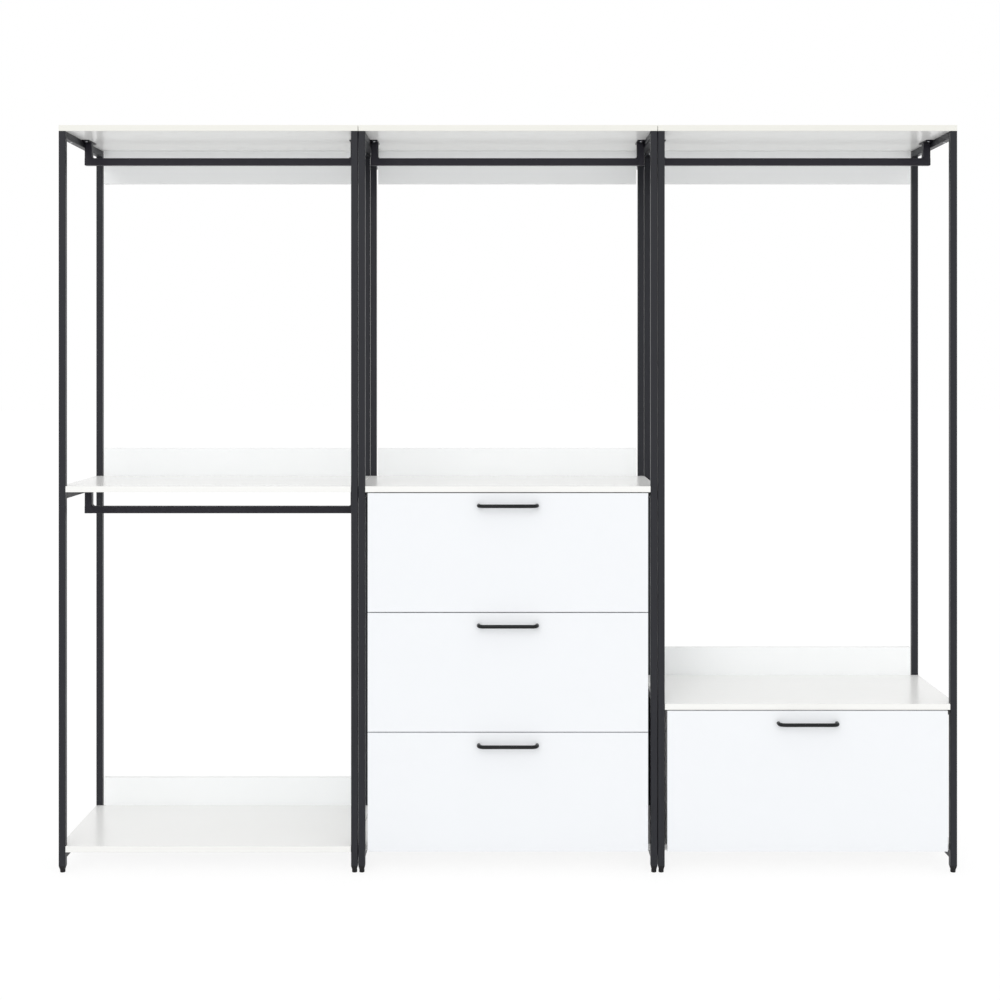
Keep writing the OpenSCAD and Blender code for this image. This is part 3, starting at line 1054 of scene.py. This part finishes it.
@dataclass
class WeldBeads:
    """Coated fillet welds of one length, laid along X in the corners between steel tubes."""

    name: str
    slot: Slot
    length: float
    middles: list[Vector]
    radius: float = 1.5 * MM
    end_r: float = 0.5 * MM
    end_segments: int = 2
    end_angle: float = math.radians(70)
    smooth_angle: float = math.radians(60)
    ripple_pitch: float = 1.4 * MM
    ripple_share: float = 0.10
    sides: int = 12

    def build(self) -> None:
        """Models the beads as one piece."""
        beads = [self.bead(f"{self.name}_{i}", middle) for i, middle in enumerate(self.middles)]
        piece = Bench.join(self.name, beads)
        Bench.paint(piece, WELD_COAT_WITH_PAINTED_SHADE)
        Bench.smooth(piece, self.smooth_angle)
        finish_piece(piece, self.slot, ROOT_BODY)

    def bead(self, name: str, middle: Vector) -> Piece:
        """Models one rippled bead.

        Args:
            name: Name of the bead.
            middle: Middle of the bead, on the corner's line.

        Returns:
            The bead.
        """
        half = Axis.X.reach(self.length / 2)
        bead = Bench.rod(name, middle - half, middle + half, 2 * self.radius, self.sides)
        rings = 2 * max(2, round(self.length / self.ripple_pitch)) - 1
        start = (middle - half).x
        step = self.length / (rings + 1)
        with Bench.editing(bead):
            Bench.pick(bead, Element.EDGE, lambda e: Bench.span(e, Axis.X) > self.length / 2)
            bpy.ops.mesh.subdivide(number_cuts=rings)
            Bench.pick(bead, Element.VERT, lambda vert: round((vert.co.x - start) / step) % 2 == 1)
            grow = 1.0 + self.ripple_share
            bpy.ops.transform.resize(value=(1.0, grow, grow), center_override=middle)
        Bench.round_edges(bead, self.end_r, self.end_segments, lambda e: Bench.sharp(e, self.end_angle))
        return bead


@dataclass
class SideFrame:
    """A welded side frame: its tubes keep their solid, and its welds are added."""

    node: str
    cross_tops: list[float]
    tube: float = 18.0 * MM
    weld_play: float = 4.0 * MM

    def build(self) -> None:
        """Dresses the tubes and adds the welds under each cross tube."""
        dress_node(self.node, FRAME_COAT)
        low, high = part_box(self.node)
        middle_x = (low.x + high.x) / 2
        corners = [
            Vector((middle_x, y, top - self.tube))
            for top in self.cross_tops
            for y in (low.y + self.tube, high.y - self.tube)
        ]
        WeldBeads(f"{self.node}_welds", Slot.FRAME_STEEL, self.tube - self.weld_play, corners).build()


@dataclass
class HangingRail:
    """A hanging rail: its tube and plates keep their solid, and its welds are added."""

    node: str
    rail_w: float = 20.0 * MM
    plate_t: float = 3.0 * MM
    weld_play: float = 5.0 * MM

    def build(self) -> None:
        """Dresses the rail and adds the welds where its legs meet the plates."""
        dress_node(self.node, RAIL_COAT)
        low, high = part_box(self.node)
        half = self.rail_w / 2
        corners = [
            Vector((x, (low.y + high.y) / 2 + side * half, high.z - self.plate_t))
            for x in (low.x + half, high.x - half)
            for side in (-1, 1)
        ]
        WeldBeads(f"{self.node}_welds", Slot.RAIL_STEEL, self.rail_w - self.weld_play, corners).build()


@dataclass
class BowHandle:
    """A bow handle bent from round bar, on one drawer's front."""

    drawer: str
    bar_d: float = 10.0 * MM
    bend_r: float = 14.0 * MM
    sides: int = 24
    bend_steps: int = 10

    def build(self) -> None:
        """Extrudes and spins a ring along the handle, and ties the handle to its drawer."""
        node = f"{self.drawer}_handle"
        low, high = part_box(node)
        z = (low.z + high.z) / 2
        left, right = low.x + self.bar_d / 2, high.x - self.bar_d / 2
        bar_y = low.y + self.bar_d / 2
        leg = high.y - bar_y - self.bend_r
        bar = right - left - 2 * self.bend_r
        Bench.clear()
        bpy.ops.mesh.primitive_circle_add(
            vertices=self.sides, radius=self.bar_d / 2, location=(left, high.y, z),
            rotation=Axis.X.reach(math.pi / 2),
        )
        handle = Bench.settle(f"{self.drawer}_bow_handle")
        with Bench.editing(handle):
            bpy.ops.mesh.select_mode(type="EDGE")
            bpy.ops.mesh.select_all(action="SELECT")
            Bench.extrude(Axis.Y.reach(-leg))
            self.turn((left + self.bend_r, high.y - leg, z))
            Bench.extrude(Axis.X.reach(bar))
            self.turn((right - self.bend_r, high.y - leg, z))
            Bench.extrude(Axis.Y.reach(leg))
            Bench.pick(handle, Element.EDGE, lambda edge: edge.is_boundary)
            bpy.ops.mesh.fill_holes(sides=0)
        Bench.heal(handle)
        Bench.paint(handle, HANDLE_LACQUER)
        Bench.smooth(handle)
        finish_piece(handle, Slot.HANDLE, self.drawer, node)

    def turn(self, centre: tuple[float, float, float]) -> None:
        """Spins the selected ring a quarter turn about an upright axis.

        Args:
            centre: A point on the axis.
        """
        bpy.ops.mesh.spin(
            steps=self.bend_steps, angle=-math.pi / 2, center=centre, axis=Axis.Z.reach(1.0),
            use_auto_merge=False,
        )


@dataclass
class DrawerBox:
    """The drawer's two sides and back, one foiled board folded at the corners."""

    drawer: str
    wall: float = 12.0 * MM
    rim_r: float = 2.0 * MM
    rim_segments: int = 4
    edge_r: float = 0.6 * MM
    edge_segments: int = 2

    def build(self) -> None:
        """Models the folded board and ties it to its drawer."""
        node = f"{self.drawer}_box"
        low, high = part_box(node)
        box = Bench.block(f"{self.drawer}_folded_box", low, high)
        with Bench.editing(box):
            Bench.pick(box, Element.FACE, lambda face: abs(face.normal.z) > FACING or face.normal.y < -FACING)
            bpy.ops.mesh.delete(type="FACE")
        Bench.heal(box)
        Bench.apply(box, "SOLIDIFY", thickness=self.wall, offset=-1.0, use_even_offset=True)
        mid = (low.z + high.z) / 2
        Bench.round_edges(box, self.rim_r, self.rim_segments, lambda e: all(v.co.z > mid for v in e.verts))
        Bench.round_edges(box, self.edge_r, self.edge_segments, lambda e: all(v.co.z < mid for v in e.verts))
        Bench.paint(box, BOX_FOIL)
        finish_piece(box, Slot.BOX, self.drawer, node)


@dataclass
class Drawer:
    """One drawer: banded front, bow handle, folded box, floor, screws and runners."""

    name: str

    def build(self) -> None:
        """Builds the drawer's pieces in order."""
        Board(f"{self.name}_front", Slot.FRONT, FRONT_LAMINATE, FRONT_LAMINATE, self.name).build()
        BowHandle(self.name).build()
        DrawerBox(self.name).build()
        ScrewSet(f"{self.name}_handle_screws", self.name).build()
        dress_node(f"{self.name}_floor", HARDBOARD)
        for part in ("runners", "mid_runners"):
            dress_node(f"{self.name}_{part}", ZINC)


@dataclass
class Feet:
    """The moulded feet: a round pad, a tapered collar and a plug inside each post."""

    node: str = "post_feet"
    pad_d: float = 14.0 * MM
    pad_h: float = 8.0 * MM
    neck_w: float = 12.0 * MM
    collar_w: float = 18.0 * MM
    collar_top: float = 18.0 * MM
    collar_sink: float = 1.0 * MM
    plug_w: float = 15.3 * MM
    edge_r: float = 1.2 * MM
    edge_segments: int = 3
    sides: int = 28

    def build(self) -> None:
        """Models one foot, copies it under each post and joins the set."""
        solids = solids_of(self.node)
        pattern = self.pattern(solids[0].high.z)
        feet = []
        for number, solid in enumerate(solids):
            place = Matrix.Translation((solid.middle.x, solid.middle.y, 0.0))
            feet.append(Bench.copy(pattern, f"foot_{number}", place))
        bpy.data.objects.remove(pattern)
        piece = Bench.join("moulded_feet", feet)
        Bench.paint(piece, FOOT_PLASTIC)
        Bench.smooth(piece)
        finish_piece(piece, Slot.PLASTIC, ROOT_BODY, self.node)

    def pattern(self, top: float) -> Piece:
        """Models one foot at the origin.

        Args:
            top: Height of the plug's upper end.

        Returns:
            The foot.
        """
        pad = Bench.rod("pad", Vector(), Axis.Z.reach(self.pad_h), self.pad_d, self.sides)
        Bench.round_edges(pad, self.edge_r, self.edge_segments)
        half = self.neck_w / 2
        collar = Bench.block(
            "collar", (-half, -half, self.pad_h - self.collar_sink), (half, half, self.collar_top)
        )
        with Bench.editing(collar):
            Bench.pick(collar, Element.FACE, lambda face: face.normal.z > FACING)
            grow = self.collar_w / self.neck_w
            bpy.ops.transform.resize(value=(grow, grow, 1.0), center_override=Axis.Z.reach(self.collar_top))
            bpy.ops.mesh.inset(thickness=(self.collar_w - self.plug_w) / 2, depth=0.0)
            Bench.extrude(Axis.Z.reach(top - self.collar_top))
        Bench.round_edges(collar, self.edge_r, self.edge_segments, lambda e: Bench.span(e, Axis.Z) > MM)
        return Bench.join("foot", [pad, collar])


@dataclass
class Studio:
    """White studio round the object: floor, world light, one soft key light and the camera."""

    eye_distance: float = 4.09
    eye_side: float = -0.0211
    eye_height: float = 1.360
    lens: float = 55.07
    shift_y: float = -0.1357
    floor_half: float = 40.0
    floor_grey: float = 0.97
    floor_seen_grey: float = 0.14
    floor_lift: float = 0.88
    ambient: float = 0.90
    key_strength: float = 0.62
    key_angle: float = math.radians(40)
    key_pitch: float = math.radians(60)
    key_turn: float = math.radians(-14)

    def build(self) -> None:
        """Builds the floor, the world, the key light and the camera."""
        self.lay_floor()
        self.light_world()
        self.hang_key()
        self.place_camera()

    @staticmethod
    def see_as_background(graph: Graph) -> Socket:
        """Adds a value that is 1 for the rays that see the background and 0 for those that light the object.

        Args:
            graph: The tree to add to.

        Returns:
            The value.
        """
        path = graph.add("ShaderNodeLightPath")
        seen = graph.math("MAXIMUM", path.outputs["Is Camera Ray"], path.outputs["Is Glossy Ray"])
        return graph.math("MAXIMUM", seen, path.outputs["Is Transmission Ray"])

    def lay_floor(self) -> None:
        """Lays a pale floor that keeps the object's shadow."""
        Bench.clear()
        bpy.ops.mesh.primitive_plane_add(size=2 * self.floor_half)
        floor = Bench.settle("studio_floor")
        material = bpy.data.materials.new("studio floor")
        material.use_nodes = True
        graph = Graph(material.node_tree)
        seen = self.see_as_background(graph)
        grey = graph.math("MULTIPLY_ADD", seen, self.floor_seen_grey - self.floor_grey, self.floor_grey)
        diffuse = graph.add("ShaderNodeBsdfDiffuse", {"Color": grey})
        lift = graph.math("MULTIPLY", seen, self.floor_lift)
        glow = graph.add("ShaderNodeEmission", {"Color": WHITE, "Strength": lift})
        both = graph.add("ShaderNodeAddShader", {0: diffuse.outputs[0], 1: glow.outputs[0]})
        graph.add("ShaderNodeOutputMaterial", {"Surface": both.outputs[0]})
        floor.data.materials.append(material)

    def light_world(self) -> None:
        """Makes the world white to the eye and a soft even light to the object."""
        world = bpy.data.worlds.new("studio world")
        bpy.context.scene.world = world
        world.use_nodes = True
        graph = Graph(world.node_tree)
        seen = self.see_as_background(graph)
        spread = graph.math("MULTIPLY_ADD", seen, 1.0 - self.ambient, self.ambient)
        sky = graph.add("ShaderNodeBackground", {"Color": WHITE, "Strength": spread})
        graph.add("ShaderNodeOutputWorld", {"Surface": sky.outputs[0]})

    def hang_key(self) -> None:
        """Hangs a broad soft light above and in front of the object."""
        lamp = bpy.data.lights.new("key", "SUN")
        lamp.energy = self.key_strength
        lamp.angle = self.key_angle
        holder = bpy.data.objects.new("key", lamp)
        bpy.context.scene.collection.objects.link(holder)
        holder.rotation_euler = (self.key_pitch, 0.0, self.key_turn)

    def place_camera(self) -> None:
        """Sets the level camera in front of the middle unit."""
        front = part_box("centre_top_board")[0].y
        scene = bpy.context.scene
        lens = bpy.data.cameras.new("camera")
        lens.lens = self.lens
        lens.shift_y = self.shift_y
        camera = bpy.data.objects.new("camera", lens)
        scene.collection.objects.link(camera)
        camera.location = (self.eye_side, front - self.eye_distance, self.eye_height)
        camera.rotation_euler = (math.pi / 2, 0.0, 0.0)
        scene.camera = camera
        scene.view_settings.view_transform = "Standard"


@dataclass
class Closet:
    """The whole closet: side frames, boards, rails, cabinets, drawers, feet and fasteners."""

    units: tuple[str, ...] = ("left", "centre", "right")
    levels: tuple[str, ...] = ("left_mid", "left_bottom", "centre_mid", "right_low")
    rails: tuple[str, ...] = ("left_upper", "left_lower", "centre", "right")
    drawers: tuple[str, ...] = ("upper_drawer", "middle_drawer", "lower_drawer", "deep_drawer")

    def build(self) -> None:
        """Builds every sub-assembly in order."""
        self.build_frames()
        self.build_boards()
        for rail in self.rails:
            HangingRail(f"{rail}_hanging_rail").build()
        for drawer in self.drawers:
            Drawer(drawer).build()
        for node in ("cabinet_runners", "link_bolts"):
            dress_node(node, ZINC)
        Feet().build()
        ScrewSet("wood_screws", ROOT_BODY).build()

    def build_frames(self) -> None:
        """Builds the two side frames of each unit, whose cross tubes lie under three boards."""
        lower = {
            "left": ("left_mid_shelf", "left_bottom_shelf"),
            "centre": ("centre_mid_shelf", "centre_cabinet_bottom"),
            "right": ("right_low_shelf", "right_cabinet_bottom"),
        }
        for unit in self.units:
            tops = [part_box(board)[0].z for board in (f"{unit}_top_board", *lower[unit])]
            for side in ("left", "right"):
                SideFrame(f"{unit}_unit_{side}_frame", tops).build()

    def build_boards(self) -> None:
        """Builds the top boards, shelves, back boards and drawer cabinets."""
        for unit in self.units:
            ScrewedBoard(f"{unit}_top_board", Slot.SHELF, SHELF_LAMINATE, TOP_BAND).build()
            Board(f"{unit}_top_back_board", Slot.PANEL, PANEL_LAMINATE, PANEL_BAND).build()
        for level in self.levels:
            NotchedShelf(f"{level}_shelf", Slot.SHELF, SHELF_LAMINATE, SHELF_BAND).build()
        for level in self.levels:
            ScrewedBoard(f"{level}_back_board", Slot.PANEL, PANEL_LAMINATE, PANEL_BAND).build()
        for unit in self.units[1:]:
            ScrewedBoard(f"{unit}_cabinet_bottom", Slot.SHELF, SHELF_LAMINATE, SHELF_BAND).build()
        Board("cabinet_sides", Slot.PANEL, PANEL_LAMINATE, PANEL_BAND).build()
        Board("cabinet_backs", Slot.FLOOR, HARDBOARD, HARDBOARD, band_t=0.5 * MM, edge_r=0.3 * MM).build()


def main() -> None:
    """Builds the closet and its studio."""
    logging.basicConfig(level=logging.INFO, format="%(name)s: %(message)s")
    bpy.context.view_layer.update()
    Closet().build()
    Studio().build()


if __name__ == "__main__":
    main()
